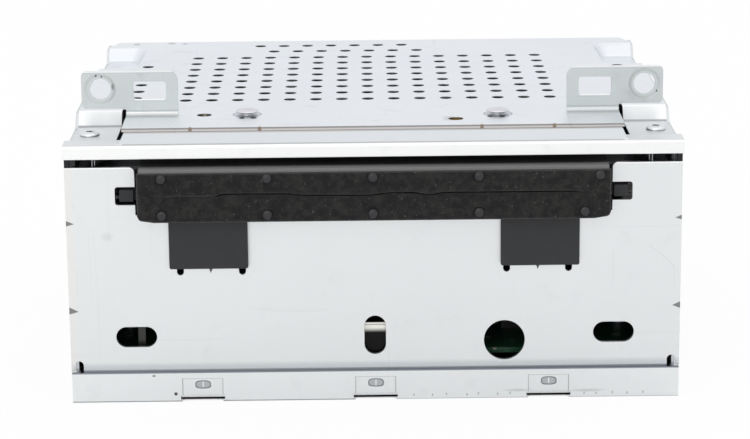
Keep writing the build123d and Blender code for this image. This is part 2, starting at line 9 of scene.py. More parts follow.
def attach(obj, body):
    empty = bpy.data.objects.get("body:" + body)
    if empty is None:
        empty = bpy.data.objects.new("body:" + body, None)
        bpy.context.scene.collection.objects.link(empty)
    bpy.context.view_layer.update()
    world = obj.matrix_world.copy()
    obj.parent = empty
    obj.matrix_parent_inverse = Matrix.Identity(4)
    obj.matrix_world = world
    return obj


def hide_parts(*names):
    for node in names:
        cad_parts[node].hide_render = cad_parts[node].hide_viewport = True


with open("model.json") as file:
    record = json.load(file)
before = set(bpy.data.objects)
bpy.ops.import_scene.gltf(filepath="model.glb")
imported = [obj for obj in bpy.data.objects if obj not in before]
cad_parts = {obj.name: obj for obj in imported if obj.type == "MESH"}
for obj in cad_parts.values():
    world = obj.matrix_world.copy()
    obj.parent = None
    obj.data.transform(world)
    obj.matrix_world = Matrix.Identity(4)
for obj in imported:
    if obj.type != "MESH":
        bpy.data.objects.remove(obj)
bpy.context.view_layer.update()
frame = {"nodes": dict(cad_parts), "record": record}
record = frame["record"]
mm = 0.001
bodyOf = {node: body for body, nodes in record["behaviour"]["bodies"].items() for node in nodes}
finishes = {}
print("frame loaded:", len(frame["nodes"]), "nodes")


def placeObject(name, data):
    made = bpy.data.objects.new(name, data)
    bpy.context.scene.collection.objects.link(made)
    return made


def arithmetic(operation, turned=False):
    def result(wire, other):
        first, second = (other, wire) if turned else (wire, other)
        return wire.shader.add("ShaderNodeMath", {"operation": operation}, {0: first, 1: second})
    return result


class Wire:
    # a shader socket that is added, multiplied and raised like a number
    __add__ = arithmetic("ADD")
    __radd__ = arithmetic("ADD", turned=True)
    __sub__ = arithmetic("SUBTRACT")
    __rsub__ = arithmetic("SUBTRACT", turned=True)
    __mul__ = arithmetic("MULTIPLY")
    __truediv__ = arithmetic("DIVIDE")
    __pow__ = arithmetic("POWER")

    def __init__(self, shader, socket):
        self.shader = shader
        self.socket = socket


class ShaderTree:
    def __init__(self, owner, outputKind):
        owner.use_nodes = True
        self.tree = owner.node_tree
        self.tree.nodes.clear()
        self.output = self.tree.nodes.new(outputKind)

    def feed(self, socket, value):
        # a wire is linked, and a number or a colour becomes the socket's own value
        if isinstance(value, Wire):
            self.tree.links.new(value.socket, socket)
            return
        size = len(socket.default_value) if hasattr(socket.default_value, "__len__") else 0
        if size and not hasattr(value, "__len__"):
            value = [value] * size
        elif size == 4 and len(value) == 3:
            value = (*value, 1.0)
        socket.default_value = value

    def add(self, kind, settings=None, sockets=None, pick=0):
        node = self.tree.nodes.new(kind)
        for key, value in (settings or {}).items():
            setattr(node, key, value)
        for key, value in (sockets or {}).items():
            self.feed(node.inputs[key], value)
        return Wire(self, node.outputs[pick])

    def show(self, wire):
        self.tree.links.new(wire.socket, self.output.inputs[0])

    def absolute(self, value):
        return self.add("ShaderNodeMath", {"operation": "ABSOLUTE"}, {0: value})

    def between(self, value, low, high):
        return self.add("ShaderNodeMapRange", {"interpolation_type": "SMOOTHSTEP"},
                        {"Value": value, "From Min": low, "From Max": high})

    def mix(self, factor, first, second):
        return self.add("ShaderNodeMix", {"data_type": "RGBA"}, {0: factor, 6: first, 7: second}, pick=2)


surfaceSockets = {
    "colour": "Base Color", "rough": "Roughness", "metal": "Metallic", "normal": "Normal",
    "coat": "Coat Weight", "coatRough": "Coat Roughness", "sheen": "Sheen Weight",
    "sheenRough": "Sheen Roughness", "specular": "Specular IOR Level",
}


class Finish(ShaderTree):
    def __init__(self, name):
        finishes[name] = bpy.data.materials.new(name)
        super().__init__(finishes[name], "ShaderNodeOutputMaterial")
        self.surface = self.tree.nodes.new("ShaderNodeBsdfPrincipled")
        self.show(Wire(self, self.surface.outputs[0]))

    def set(self, **values):
        for key, value in values.items():
            self.feed(self.surface.inputs[surfaceSockets[key]], value)

    def spots(self, stretch=(1, 1, 1), turn=(0, 0, 0)):
        here = self.add("ShaderNodeTexCoord", pick="Object")
        return self.add("ShaderNodeMapping", None,
                        {"Vector": here, "Rotation": [math.radians(a) for a in turn], "Scale": stretch})

    def clouds(self, size, detail=3.0, stretch=(1, 1, 1), turn=(0, 0, 0), rough=0.5):
        return self.add("ShaderNodeTexNoise", None, {
            "Vector": self.spots(stretch, turn), "Scale": 1 / size, "Detail": detail, "Roughness": rough})

    def bump(self, height, strength, distance):
        return self.add("ShaderNodeBump", None,
                        {"Height": height, "Strength": strength, "Distance": distance})

    def axes(self):
        # X, Y and Z of the spot in mm
        split = self.tree.nodes.new("ShaderNodeSeparateXYZ")
        self.feed(split.inputs[0], self.add("ShaderNodeTexCoord", pick="Object"))
        return dict(zip("xyz", [Wire(self, out) * 1000.0 for out in split.outputs]))

    def patchMask(self, patch, axes):
        # 1 inside the patch: limits along the axes, a round spot, or a polygon in X and Z
        soft = patch.get("soft", 0.06)
        if patch.get("both"):
            axes = {**axes, "x": self.absolute(axes["x"])}
        terms = []
        for key in "xyz":
            if key in patch:
                low, high = patch[key]
                terms.append(self.between(axes[key], low - soft, low + soft))
                terms.append(1 - self.between(axes[key], high - soft, high + soft))
        if "round" in patch:
            plane, *middles, reachA, reachB = patch["round"]
            power = patch.get("power", 2.0)
            away = [self.absolute((axes[key] - middle) / reach) ** power
                    for key, middle, reach in zip(plane, middles, (reachA, reachB))]
            share = soft / min(reachA, reachB)
            terms.append(1 - self.between((away[0] + away[1]) ** (1 / power), 1 - share, 1 + share))
        points = patch.get("points", [])
        for (ax, az), (bx, bz) in zip(points, points[1:] + points[:1]):
            length = math.hypot(bx - ax, bz - az)
            side = (axes["z"] - az) * ((bx - ax) / length) - (axes["x"] - ax) * ((bz - az) / length)
            terms.append(self.between(side, -soft, soft))
        mask = terms[0]
        for term in terms[1:]:
            mask = mask * term
        return mask * patch.get("amount", 1.0)

    def patched(self, tone, patches):
        axes = self.axes() if patches else {}
        for patch in patches:
            tone = self.mix(self.patchMask(patch, axes), tone, patch["tone"])
        return tone


def shade(colour, amount):
    return tuple(min(1.0, channel * amount) for channel in colour)


# zinc-plated sheet: colour, roughness, and how much cloud, marks and scratches show in it
zincLooks = {
    "coverZinc": ((0.785, 0.805, 0.84), 0.36, 0.05, 0.10, 0.10),
    "stripZinc": ((0.92, 0.925, 0.91), 0.34, 0.03, 0.08, 0.08),
    "plateZinc": ((0.79, 0.805, 0.81), 0.40, 0.04, 0.05, 0.04),
    "earZinc": ((0.60, 0.635, 0.635), 0.42, 0.08, 0.16, 0.12),
    "trayZinc": ((0.84, 0.855, 0.86), 0.38, 0.05, 0.06, 0.05),
    "wallZinc": ((0.66, 0.68, 0.695), 0.38, 0.06, 0.10, 0.14),
    # the inner sheets are dark as painted shade, so the inside looks dark through the holes and gaps
    "innerZinc": ((0.22, 0.23, 0.24), 0.45, 0.10, 0.10, 0.10),
}

# places in mm that the sheets, the fasteners and the local tones share
studPlaces = [(-37.6, 18.9), (37.4, 16.0)]
screwX, screwY = 84.2, 11.7
brownHole, goldHole = (-50.4, 18.6), (24.6, 9.6)
lipTabs = (-51.8, 0, 51.8)

# painted shade: black for notches, slits and gaps, dark grey for the gap under the strip, grey for painted
# shadow lines and soft painted shade, and painted shade along the corners of the cut edge
shadeBlack, gapShade, shadeGrey = (0.02, 0.02, 0.02), (0.05, 0.052, 0.054), (0.40, 0.41, 0.42)
cutTone, cutShade, shadowTone = (0.60, 0.575, 0.565), (0.30, 0.29, 0.285), (0.09, 0.10, 0.095)


def area(tone, **limits):
    # a local tone within x, y and z limits in mm, a round spot or points; both means x on either side
    return {"tone": tone if hasattr(tone, "__len__") else (tone, tone, tone), **limits}


def cutEdge(**limits):
    # the bare cut edge at the front, with a painted shade line along both its corners
    return [area(tone, y=(-5, 1.25), z=levels, **limits) for tone, levels in (
        (cutTone, (82.2, 83.2)), (cutShade, (82.95, 83.45)), (cutShade, (82.0, 82.42)))]


def studRing(x, y):
    # the pressed ring round a stud, dark at its rim
    return [area(tone, round=("xy", x, y, reach, reach), z=(83.3, 83.7), amount=amount)
            for tone, reach, amount in (((0.16, 0.17, 0.165), 4.35, 0.8), ((0.60, 0.62, 0.65), 4.05, 1.0))]


def lipTab(middle):
    # one of the lip's tabs: painted shade in the notch, the foot painted white where the bright floor shows,
    # three painted shadow lines round the tab and the pressed oblong
    line = {"soft": 0.05, "amount": 0.85}
    return [
        area(shadeBlack, x=(middle - 6.9, middle + 6.9), y=(-0.3, 2), z=(0.3, 2.3)),
        area(0.97, x=(middle - 5.7, middle + 5.7), y=(-0.3, 0.3), z=(-0.5, 0.32)),
        area(shadeGrey, x=(middle - 6.12, middle - 5.9), z=(1.7, 7.2), **line),
        area(shadeGrey, x=(middle + 5.9, middle + 6.12), z=(1.7, 7.2), **line),
        area(shadeGrey, x=(middle - 6.0, middle + 6.0), z=(6.98, 7.2), **line),
        area((0.16, 0.165, 0.17), round=("xz", middle + 0.1, 5.1, 2.35, 1.33), power=3.0, soft=0.08),
        area((0.50, 0.51, 0.53), round=("xz", middle + 0.1, 5.08, 2.05, 1.02), power=3.0, soft=0.12),
        area((0.80, 0.81, 0.82), x=(middle - 0.1, middle + 0.3), y=(-2, 0.2), z=(4.2, 6.0), soft=0.12),
    ]


# local tones of each sheet, laid over it in this order
zincPatches = {
    "coverZinc": [
        # hole walls, painted dark as painted shade, a little less dark toward the back
        area((0.045, 0.043, 0.038), x=(-74.9, 74.9), y=(1.5, 140.6), z=(80, 83.22)),
        area((0.13, 0.128, 0.118), x=(-74.9, 74.9), y=(86, 140.6), z=(80, 83.24)),
        area((0.035, 0.033, 0.030), both=True, x=(78, 83), y=(84, 94), z=(80, 83.22)),
        # corner tabs: the flat painted darker as painted shade, a line, a painted shadow at the foot of the
        # step, the step painted lighter as painted light, and painted shade in the slit beside them
        area((0.70, 0.715, 0.735), both=True, x=(75, 92), y=(0, 24), z=(77.9, 79.5), soft=0.4),
        area(0.50, both=True, x=(75, 92), y=(4, 5.6), z=(77.9, 79.0)),
        area(shadeGrey, both=True, x=(74.9, 92), y=(22.6, 23.9), z=(79, 79.7), soft=0.25),
        area((0.88, 0.89, 0.90), both=True, x=(75, 92), y=(23.8, 29.6), z=(79.6, 83.4)),
        area(shadeBlack, both=True, x=(73, 75.75), y=(1, 30), z=(78, 83.2)),
        *cutEdge(x=(-58.4, 58.4)),
        *studRing(*studPlaces[0]),
        *studRing(*studPlaces[1]),
        # walls of the two big holes: the left one brown, partly painted shade, with a painted light streak;
        # the right one gold, with painted shade beside it
        area((0.20, 0.165, 0.12), round=("xy", *brownHole, 2.7, 2.7), z=(80, 83.3)),
        area((0.55, 0.54, 0.50), x=(-51.0, -49.9), y=(19, 22), z=(80, 83.3), soft=0.2),
        area((0.42, 0.30, 0.13), round=("xy", *goldHole, 2.7, 2.7), z=(80, 83.3)),
        area((0.13, 0.11, 0.06), x=(21, 24), y=(7, 13), z=(80, 83.3), soft=0.8, amount=0.8),
        # shadows before the studs, smudges near the back, painted shade on the dips' floor
        *[area(tone, round=("xy", x, y, reach, 1.7), soft=0.25) for x, y, reach, tone in (
            (-39.0, 13.9, 0.75, shadowTone), (-35.5, 13.9, 0.95, shadowTone),
            (34.9, 12.6, 0.8, (0.12, 0.13, 0.13)), (38.5, 12.4, 0.95, shadowTone))],
        *[area((0.30, 0.30, 0.31), round=("xy", x, y, reach, 1.6), soft=0.5, amount=amount) for
          x, y, reach, amount in ((-80, 137.6, 1.1, 0.6), (-68, 138.8, 1.3, 0.6), (-63.5, 137.6, 0.9, 0.5))],
        area(shadeGrey, both=True, x=(82, 86), y=(102, 108), z=(79, 80), soft=1.0, amount=0.35),
        # nicks in the cut edge
        *[area((0.28, 0.21, 0.16), round=("xz", x, 82.9, 0.55, 0.75), y=(-5, 1.6), soft=0.2)
          for x in (-53.7, -33.3, 31.9, 53.2)],
    ],
    "stripZinc": [
        # riser painted darker as painted shade, a painted shadow line at its foot, corner flats painted
        # darker as painted shade, painted shade on the bend above the riser
        area((0.595, 0.62, 0.645), y=(-2.1, 0.75), z=(79.2, 82.35)),
        area((0.50, 0.51, 0.52), y=(-2.9, -1.7), z=(78.95, 79.3), amount=0.75),
        area((0.74, 0.75, 0.765), both=True, x=(73.5, 92), y=(-2.4, 4.5), z=(78.5, 79.4)),
        area((0.42, 0.40, 0.39), y=(0.2, 0.95), z=(81.95, 82.5), amount=0.7),
        # the shelf as it shows through the cover's holes: painted shade under the cover, brown and gold
        # under the big holes, and a painted pool of light under the left one
        area((0.12, 0.10, 0.07), y=(1.2, 40), z=(81, 83)),
        area((0.20, 0.15, 0.09), round=("xy", *brownHole, 2.6, 2.6), z=(81, 83)),
        area((0.60, 0.60, 0.55), round=("xy", -50.2, 19.4, 0.5, 0.9), z=(81, 83), soft=0.2),
        area((0.30, 0.20, 0.07), round=("xy", *goldHole, 2.6, 2.6), z=(81, 83), soft=0.6),
        # painted shade in the dark gap below
        area((0.03, 0.03, 0.032), y=(-0.3, 12), z=(70, 78)),
    ],
    "plateZinc": [
        # painted shade on the foot and a painted shadow line, a painted highlight on the top edge, painted
        # warm light on the left end, a smudge
        area((0.62, 0.65, 0.67), z=(9.2, 11.4), soft=0.9),
        area((0.12, 0.13, 0.15), z=(9.0, 9.7), soft=0.2, amount=0.6),
        area(0.98, z=(71.5, 72.3)),
        area((0.84, 0.80, 0.74), x=(-91.4, -88.9), z=(9, 72), soft=0.5, amount=0.35),
        area(0.55, round=("xz", -79.0, 50.9, 1.5, 1.1), soft=0.7, amount=0.35),
        # coined triangles at the sides, darts, hair scratches
        *[area((0.24, 0.24, 0.245), points=points, soft=0.12) for points in (
            [(-91.5, 54.1), (-88.6, 54.9), (-91.5, 56.15)], [(-91.2, 27.1), (-88.2, 28.0), (-91.2, 29.5)],
            [(91.5, 56.0), (89.0, 54.86), (91.5, 54.2)], [(91.1, 29.2), (88.6, 28.0), (91.1, 27.0)])],
        *[area(0.10, points=points, soft=0.08) for points in (
            [(-49.25, 41.3), (-48.6, 39.45), (-47.8, 41.3)], [(47.75, 41.3), (48.45, 39.6), (49.15, 41.3)])],
        *[area(0.50, points=points, soft=0.05, amount=0.5) for points in (
            [(81.4, 46.45), (85.35, 43.6), (85.3, 43.8), (81.4, 46.6)],
            [(85.3, 43.65), (88.95, 39.9), (89.0, 40.05), (85.35, 43.8)],
            [(88.9, 40.0), (89.35, 32.6), (89.45, 32.6), (89.0, 40.0)],
            [(-88.15, 40.9), (-88.4, 33.2), (-88.3, 33.2), (-88.05, 40.9)],
            [(-88.7, 61.4), (-88.8, 58.9), (-88.7, 58.9), (-88.6, 61.4)])],
    ],
    "earZinc": [
        # foot painted lighter as painted light, a painted highlight on the bend behind it with a painted
        # shadow line above it, a painted highlight along the lower edge of the window with a dark line under
        # it, a painted highlight along the top edge with a dark line under it
        area((0.76, 0.785, 0.81), y=(-1, 17.5), z=(82, 84.0), soft=0.6),
        area((0.66, 0.68, 0.68), y=(15, 21), z=(83.4, 84.6), soft=0.2),
        area((0.42, 0.45, 0.45), y=(16, 21), z=(84.6, 85.1), soft=0.15, amount=0.7),
        area((0.90, 0.91, 0.91), both=True, x=(62, 71.2), z=(88.15, 88.43)),
        area((0.52, 0.54, 0.54), both=True, x=(61, 71.9), z=(87.7, 88.0), amount=0.5),
        area((0.80, 0.82, 0.82), z=(96.6, 97.3), soft=0.1),
        area((0.45, 0.47, 0.47), z=(96.35, 96.6), amount=0.4),
        *cutEdge(both=True, x=(58, 76)),
        # lower edge of the outer end, ring round the hole, small marks
        area((0.38, 0.40, 0.40), both=True, x=(74, 92), z=(84.9, 85.65), soft=0.2, amount=0.45),
        area((0.40, 0.42, 0.41), both=True, round=("xz", 81.2, 91.6, 4.45, 4.3), soft=0.25, amount=0.6),
        area((0.60, 0.635, 0.635), both=True, round=("xz", 81.5, 91.5, 3.95, 4.0), soft=0.25),
        area((0.16, 0.16, 0.15), round=("xz", -77.6, 92.3, 0.4, 0.9), soft=0.2, amount=0.7),
        *[area(0.1, x=across, z=levels, soft=0.1) for across, levels in (
            ((-82.8, -82.3), (95.4, 96.0)), ((-81.1, -80.7), (95.1, 95.7)), ((84.9, 85.3), (89.0, 89.6)))],
    ],
    "trayZinc": [
        # painted shadow line under the plate, painted shade on the dark inside, painted shadow along the
        # lower edge of the lip
        area((0.25, 0.27, 0.31), z=(8.85, 9.4), soft=0.12),
        area(0.012, x=(-88.5, 88.5), y=(0.3, 60), z=(0.5, 40)),
        area((0.26, 0.27, 0.28), x=(-92, 5), y=(-2, -0.3), z=(-0.5, 0.3), amount=0.9),
        area(shadeGrey, x=(5, 92), y=(-2, -0.3), z=(-0.5, 0.25), amount=0.6),
        # the uprights behind the left and the middle slot: painted shade on the left one, a painted pool of
        # light on the middle one with a line across it
        area((0.055, 0.055, 0.05), x=(-72, -68), y=(2, 6), z=(12, 26), soft=1.2),
        area((0.95, 0.93, 0.87), x=(-5, 5), y=(2, 6), z=(20.6, 24), soft=0.9),
        area((0.35, 0.35, 0.33), x=(-5, 5), y=(2, 6), z=(22.15, 22.4)),
        # marks on the lip
        area((0.10, 0.07, 0.05), round=("xz", -59.9, 2.4, 0.5, 0.5), soft=0.15),
        area(0.3, round=("xz", -66.3, 8.1, 0.5, 0.3), soft=0.15),
        area(0.45, round=("xz", 42.5, 2.4, 3.0, 0.35), soft=0.3, amount=0.5),
        area(0.45, round=("xz", 63.5, 2.1, 4.0, 0.35), soft=0.3, amount=0.5),
        *[area((0.35, 0.33, 0.30), round=("xz", x, z, 0.22, 0.4), soft=0.12, amount=0.7) for x, z in (
            (11.5, 1.3), (17.0, 1.2), (21.2, 1.4), (27.4, 1.2), (30.8, 1.5), (36.6, 1.3), (40.3, 1.5),
            (62.5, 1.3), (66.1, 1.2), (71.0, 1.4), (75.4, 1.2), (80.2, 1.4))],
        *[patch for middle in lipTabs for patch in lipTab(middle)],
    ],
    "wallZinc": [
        # painted shade in what shows in the gap under the front strip and in the slits of the cover
        area(gapShade, x=(-88.7, 88.7), y=(-3, 60), z=(70.0, 78.2)),
        area(gapShade, y=(-3, 1.6), z=(70.0, 78.2)),
        area(shadeBlack, both=True, x=(70, 77), y=(-3, 31), z=(76, 84)),
    ],
}


def zincFinish(name, colour, rough, cloud, marks, scratch):
    made = Finish(name)
    wide = made.clouds(0.045, 3)
    stains = made.between(made.clouds(0.009, 5, rough=0.62), 0.56, 0.74)
    hairs = made.between(made.clouds(0.0035, 2, stretch=(0.05, 1.6, 1.6), turn=(0, 8, 12)), 0.68, 0.72)
    cross = made.between(made.clouds(0.0045, 2, stretch=(1.7, 0.05, 0.07), turn=(15, 0, -9)), 0.70, 0.74)
    lines = made.add("ShaderNodeMath", {"operation": "MAXIMUM"}, {0: hairs, 1: cross})
    grain = made.clouds(0.00045, 2)
    tone = made.mix(made.between(wide, 0.35, 0.65) * cloud * 4, colour, shade(colour, 0.90))
    tone = made.mix(stains * marks * 3, tone, shade(colour, 0.78))
    tone = made.mix(lines * scratch * 2, tone, shade(colour, 0.80))
    made.set(colour=made.patched(tone, zincPatches.get(name, [])), metal=0.92,
             rough=rough + (wide - 0.5) * 0.12 + stains * 0.10 + lines * 0.12,
             normal=made.bump(grain + lines * -0.8, 0.10, 0.00003))


def plasticFinish(name, colour, rough, grainSize=0.00035, grain=0.25, dust=0.0, specular=0.5, patches=()):
    made = Finish(name)
    fine = made.clouds(grainSize, 3)
    wide = made.clouds(0.02, 3)
    tone = made.mix(made.between(wide, 0.3, 0.7) * 0.5, colour, shade(colour, 0.86))
    if dust:
        specks = made.between(made.clouds(0.0009, 4, rough=0.7), 0.66, 0.72)
        tone = made.mix(specks * dust, tone, (0.5, 0.5, 0.5))
    made.set(colour=made.patched(tone, patches), rough=rough + (wide - 0.5) * 0.12 + (fine - 0.5) * 0.10,
             specular=specular, normal=made.bump(fine, grain, 0.00005))


def feltFinish(name):
    made = Finish(name)
    pile = made.clouds(0.0004, 4, rough=0.7)
    tufts = made.clouds(0.0022, 4, rough=0.6)
    specks = made.between(made.clouds(0.00055, 2, rough=0.6), 0.70, 0.75)
    lint = made.between(made.clouds(0.0008, 2, stretch=(0.25, 1.5, 1.5), turn=(0, 25, 0)), 0.72, 0.76)
    tone = made.mix(made.between(tufts, 0.35, 0.7), (0.005, 0.005, 0.0055), (0.019, 0.018, 0.0165))
    tone = made.mix(specks * 0.8, tone, (0.20, 0.19, 0.17))
    tone = made.mix(lint * 0.25, tone, (0.20, 0.20, 0.20))
    made.set(colour=tone, rough=0.96, sheen=0.16, sheenRough=0.6, specular=0.15,
             normal=made.bump(pile + tufts * 0.6, 0.8, 0.00035))


def glossFinish(name, colour, rough, patches):
    made = Finish(name)
    wide = made.clouds(0.002, 3)
    tone = made.patched(made.mix(wide * 0.4, colour, shade(colour, 1.5)), patches)
    made.set(colour=tone, rough=rough + (wide - 0.5) * 0.08, coat=0.12, coatRough=0.12, specular=0.25,
             normal=made.bump(made.clouds(0.0006, 2), 0.05, 0.00002))


def brightFinish(name, colour, rough, patches=()):
    made = Finish(name)
    wide = made.clouds(0.006, 4)
    fine = made.clouds(0.0006, 2, stretch=(1, 1, 0.1))
    tone = made.mix(made.between(wide, 0.4, 0.7) * 0.5, colour, shade(colour, 0.82))
    made.set(colour=made.patched(tone, patches), metal=1.0, rough=rough + (wide - 0.5) * 0.15,
             normal=made.bump(fine, 0.06, 0.00002))


def boardFinish(name):
    made = Finish(name)
    tracks = made.between(made.clouds(0.004, 1, stretch=(1, 0.15, 1)), 0.52, 0.54)
    pads = made.add("ShaderNodeTexVoronoi", {"feature": "F1"}, {"Vector": made.spots(), "Scale": 160.0})
    dots = 1 - made.between(pads, 0.18, 0.24)
    tone = made.mix(tracks * 0.6, (0.008, 0.045, 0.022), (0.013, 0.075, 0.034))
    tone = made.mix(dots * 0.6, tone, (0.42, 0.40, 0.33))
    made.set(colour=tone, rough=0.35 + dots * 0.1, normal=made.bump(tracks + dots, 0.2, 0.00004))


for name, look in zincLooks.items():
    zincFinish(name, *look)
plasticFinish("slatePlastic", (0.022, 0.0225, 0.0245), 0.46, dust=0.08, specular=0.36, patches=[
    # painted light on the bezel's top face: lighter at the ends, a little lighter in the middle
    area((0.19, 0.19, 0.187), y=(-9, 1.5), z=(71.1, 72.6)),
    area(0.05, x=(-68.9, 68.9), y=(-1.5, 9), z=(71.0, 73.7), soft=1.0),
])
plasticFinish("blackPlastic", (0.018, 0.018, 0.019), 0.42)
plasticFinish("whitePlastic", (0.62, 0.61, 0.58), 0.5)
plasticFinish("ribbonFilm", (0.55, 0.42, 0.18), 0.35)
plasticFinish("softRubber", (0.022, 0.022, 0.022), 0.75, 0.0006, 0.35)
feltFinish("blackFelt")
# a painted shade ring at each pin's rim
glossFinish("pinGloss", (0.024, 0.024, 0.026), 0.3, [area(0.001, y=(-8.0, -7.0), soft=0.08)])
brightFinish("screwSteel", (0.62, 0.63, 0.645), 0.30)
brightFinish("studSteel", (0.70, 0.69, 0.72), 0.40)
# the corner screws: painted shade in a level cross, a painted shade line at the foot of the head, and
# painted shade on the left shank in the gap
brightFinish("cornerSteel", (0.80, 0.81, 0.82), 0.42, [
    area(shadeBlack, both=True, round=("xy", screwX, screwY, 1.3, 0.35), z=(79, 81), soft=0.12),
    area((0.25, 0.24, 0.23), both=True, round=("xy", screwX, screwY, 0.35, 1.2), z=(79, 81), soft=0.12),
    area((0.35, 0.35, 0.36), z=(79, 79.45), soft=0.1),
    area(shadeBlack, x=(-90, -78), z=(70, 78.9)),
])
brightFinish("pinBrass", (0.72, 0.55, 0.25), 0.28)
brightFinish("sinkAluminium", (0.60, 0.61, 0.62), 0.42)
boardFinish("boardGreen")
print("finishes written:", len(finishes))

finishNodes = {
    "coverZinc": "top_cover",
    "stripZinc": "front_frame",
    "plateZinc": "front_plate",
    "trayZinc": "bottom_tray",
    "earZinc": "ear_left ear_right",
    "wallZinc": "left_wall right_wall rear_panel corner_bracket_left corner_bracket_right",
    "innerZinc": "mech_bracket_left mech_bracket_right deck_plate upper_plate clamp_arm",
    "cornerSteel": "corner_screws",
    "studSteel": "locating_studs",
    "screwSteel": "cover_screws heat_sink_screws antenna_socket board_screws feed_shaft feed_motor"
                  " spindle_motor clamp_pivot sled_rods lead_screw sled_motor",
    "sinkAluminium": "heat_sink",
    "pinBrass": "connector_pins board_posts",
    "slatePlastic": "slot_bezel",
    "blackPlastic": "connector_header board_chips capacitors amplifier_chip disc_guide turntable"
                    " clamp_disc rod_holders sled",
    "whitePlastic": "feed_gear feed_pinion",
    "softRubber": "mech_dampers feed_rubbers",
    "pinGloss": "felt_pins",
    "blackFelt": "felt_pad",
    "boardGreen": "main_board",
    "ribbonFilm": "ribbon_cable",
}
finishOf = {node: finish for finish, nodes in finishNodes.items() for node in nodes.split()}
for node, piece in frame["nodes"].items():
    piece.data.materials.clear()
    piece.data.materials.append(finishes[finishOf[node]])


# mesh helpers
def addPiece(name, mesh, node, body=None):
    piece = placeObject(name, mesh)
    mesh.materials.clear()
    mesh.materials.append(finishes[finishOf[node]])
    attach(piece, body or bodyOf[node])
    return piece


def baked(holder):
    # the evaluated result as a plain mesh, without its holder
    depsgraph = bpy.context.evaluated_depsgraph_get()
    mesh = bpy.data.meshes.new_from_object(holder.evaluated_get(depsgraph))
    mesh.name = holder.name
    holder.modifiers.clear()
    bpy.data.objects.remove(holder)
    return mesh


def smooth(mesh, angle):
    mesh.shade_smooth()
    mesh.set_sharp_from_angle(angle=math.radians(angle))
    return mesh


def roundEdges(mesh, width, angle=32):
    # width in mm
    holder = placeObject("holder", smooth(mesh, angle))
    bevel = holder.modifiers.new("edge", "BEVEL")
    bevel.width = width * mm
    bevel.segments = 2
    bevel.limit_method = "ANGLE"
    bevel.angle_limit = math.radians(angle)
    bevel.use_clamp_overlap = True
    weighted = holder.modifiers.new("normals", "WEIGHTED_NORMAL")
    weighted.keep_sharp = True
    return baked(holder)


def finishMesh(work, name):
    bmesh.ops.recalc_face_normals(work, faces=work.faces)
    mesh = bpy.data.meshes.new(name)
    work.to_mesh(mesh)
    work.free()
    return mesh


def addBlocks(work, blocks):
    # each block is its low and its high corner in mm
    for corners in blocks:
        low, high = [Vector([v * mm for v in corner]) for corner in corners]
        centre = (low + high) / 2
        span = high - low
        for vert in bmesh.ops.create_cube(work, size=1.0)["verts"]:
            vert.co = Vector((vert.co.x * span.x, vert.co.y * span.y, vert.co.z * span.z)) + centre


def cutOut(mesh, blocks, crossing=False):
    work = bmesh.new()
    addBlocks(work, blocks)
    body = placeObject("cutBody", mesh)
    tool = placeObject("cutTool", finishMesh(work, "cutTool"))
    cut = body.modifiers.new("cut", "BOOLEAN")
    cut.operation = "DIFFERENCE"
    cut.solver = "EXACT"
    cut.use_self = crossing
    cut.object = tool
    result = baked(body)
    bpy.data.objects.remove(tool)
    return result


# edges of the CAD sheets and the bezel are rounded by these widths, in mm
edgeWidths = {
    "front_frame": 0.35, "front_plate": 0.16, "bottom_tray": 0.22, "ear_left": 0.22, "ear_right": 0.22,
    "left_wall": 0.15, "right_wall": 0.15, "rear_panel": 0.15, "slot_bezel": 0.2, "connector_header": 0.3,
    "antenna_socket": 0.3, "heat_sink": 0.2, "corner_bracket_left": 0.15, "corner_bracket_right": 0.15,
}

# short folds at the strip's ends, and the uprights behind the middle and the left slot, which carry painted
# light and painted shade
endFold = {"x": 90.2, "half": 0.75, "front": 0.1, "back": 5.5, "low": 71.95, "high": 75.2}
addedBlocks = {
    "front_frame": [((x - endFold["half"], endFold["front"], endFold["low"]),
                     (x + endFold["half"], endFold["back"], endFold["high"]))
                    for x in (-endFold["x"], endFold["x"])],
    "bottom_tray": [((-4.2, 2.6, 0.5), (4.2, 3.4, 22.9)), ((-71.0, 3.6, 0.5), (-68.8, 4.4, 24.0))],
}

# the notches below the lip's tabs: one cut in the front, then a wider one that goes deeper
lipNotch = {"front": -1.4, "top": 1.95, "cuts": [(6.1, -0.3, 0.02), (6.6, 0.6, 0.9)]}
cutGroups = {
    "bottom_tray": [[((x - reach, lipNotch["front"], low), (x + reach, back, lipNotch["top"]))
                     for x in lipTabs] for reach, low, back in lipNotch["cuts"]],
}

# long faces are parted at these x, so that each corner flat is a face of its own
partedAt = {"front_frame": [-76.0, 0.0, 76.0]}


def cleanCopy(node):
    mesh = frame["nodes"][node].data.copy()
    work = bmesh.new()
    work.from_mesh(mesh)
    bmesh.ops.remove_doubles(work, verts=work.verts, dist=2e-6)
    bmesh.ops.dissolve_limit(work, angle_limit=math.radians(0.6), verts=work.verts, edges=work.edges,
                             use_dissolve_boundaries=False, delimit=set())
    for x in partedAt.get(node, []):
        bmesh.ops.bisect_plane(work, geom=work.verts[:] + work.edges[:] + work.faces[:], dist=1e-7,
                               plane_co=(x * mm, 0, 0), plane_no=(1, 0, 0))
    work.to_mesh(mesh)
    work.free()
    return mesh


def dressNode(node, width):
    mesh = cleanCopy(node)
    for blocks in cutGroups.get(node, []):
        mesh = cutOut(mesh, blocks)
    if node in addedBlocks:
        work = bmesh.new()
        work.from_mesh(mesh)
        addBlocks(work, addedBlocks[node])
        work.to_mesh(mesh)
        work.free()
    piece = addPiece(node + "_skin", roundEdges(mesh, width), node)
    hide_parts(node)


